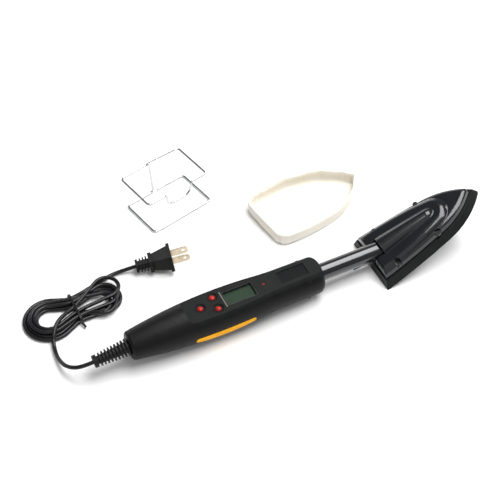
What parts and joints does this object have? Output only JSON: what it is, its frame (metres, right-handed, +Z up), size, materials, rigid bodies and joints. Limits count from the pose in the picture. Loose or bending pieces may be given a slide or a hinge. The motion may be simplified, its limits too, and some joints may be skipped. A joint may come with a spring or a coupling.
{
  "type": "heat sealing iron with rest and cover",
  "caption": "Hand-held heat-sealing iron with a boat-shaped sole, digital control handle and tied mains cord, beside its bent-wire rest and open cotton sole cover.",
  "frame": {"origin": "on the table, in the middle of the footprint of the iron, the wire rest and the cotton cover, without the cord and plug", "axes": "+X along the handle towards the shoe, +Z up from the table, +Y towards the wire rest"},
  "size_m": [0.4142, 0.2152, 0.0594],
  "materials": {
    "handle_black": "fine matt texture",
    "fascia_black": "satin",
    "inlay_yellow": "satin",
    "button_red": "gloss",
    "led_red": "gloss",
    "lcd_green": "gloss",
    "frame_black": "satin",
    "bar_pale": "gloss",
    "label_black": "satin",
    "board_green": "satin",
    "component_black": "matt",
    "capacitor_yellow": "gloss",
    "lead_sleeve": "matt",
    "bush_black": "matt",
    "tube_black": "black chrome",
    "saddle_steel": "bright",
    "sole_black": "matt black coating",
    "cover_black": "high gloss",
    "screw_dark": "blackened",
    "heater_steel": "satin",
    "wire_chrome": "bright",
    "sock_cotton": "plain weave",
    "cord_black": "satin",
    "relief_black": "matt",
    "tie_black": "satin",
    "plug_black": "fine matt texture",
    "blade_nickel": "nickel plated"
  },
  "bodies": {
    "iron": {"handle_upper_shell": "handle_black", "handle_lower_shell": "handle_black", "control_fascia": "fascia_black", "side_inlay_right": "inlay_yellow", "side_inlay_left": "inlay_yellow", "led_power": "led_red", "led_heating": "led_red", "lcd_display": "lcd_green", "lcd_frame": "frame_black", "window_bar": "bar_pale", "label_plate": "label_black", "circuit_board": "board_green", "tactile_switches": "component_black", "power_triac": "component_black", "terminal_block": "component_black", "cord_clamp": "component_black", "thermal_fuse": "component_black", "dropper_capacitor": "capacitor_yellow", "heater_leads": "lead_sleeve", "nose_bush": "bush_black", "shank_tube": "tube_black", "shank_saddle": "saddle_steel", "heater_clamp": "saddle_steel", "shoe_sole": "sole_black", "shoe_cover": "cover_black", "shoe_screws": "screw_dark", "handle_screws": "screw_dark", "heater_element": "heater_steel", "temperature_sensor": "heater_steel", "cord_lead": "cord_black", "cord_hank": "cord_black", "cord_tail": "cord_black", "strain_relief": "relief_black", "hank_tie": "tie_black", "plug_body": "plug_black", "plug_blade_left": "blade_nickel", "plug_blade_right": "blade_nickel"},
    "button_power": {"button_power": "button_red"},
    "button_up": {"button_up": "button_red"},
    "button_down": {"button_down": "button_red"},
    "rest": {"rest_wire": "wire_chrome"},
    "sock": {"cotton_sock": "sock_cotton"}
  },
  "joints": [
    {"name": "button_power_press", "type": "slide", "parent": "iron", "child": "button_power", "axis": [0, 0, -1], "range_m": [0, 0.0008], "stiffness_N_per_m": 400},
    {"name": "button_up_press", "type": "slide", "parent": "iron", "child": "button_up", "axis": [0, 0, -1], "range_m": [0, 0.0008], "stiffness_N_per_m": 400},
    {"name": "button_down_press", "type": "slide", "parent": "iron", "child": "button_down", "axis": [0, 0, -1], "range_m": [0, 0.0008], "stiffness_N_per_m": 400},
    {"name": "rest_lift", "type": "slide", "parent": "iron", "child": "rest", "axis": [0, 0, 1], "range_m": [0, 0.06]},
    {"name": "sock_lift", "type": "slide", "parent": "iron", "child": "sock", "axis": [0, 0, 1], "range_m": [0, 0.03]}
  ]
}
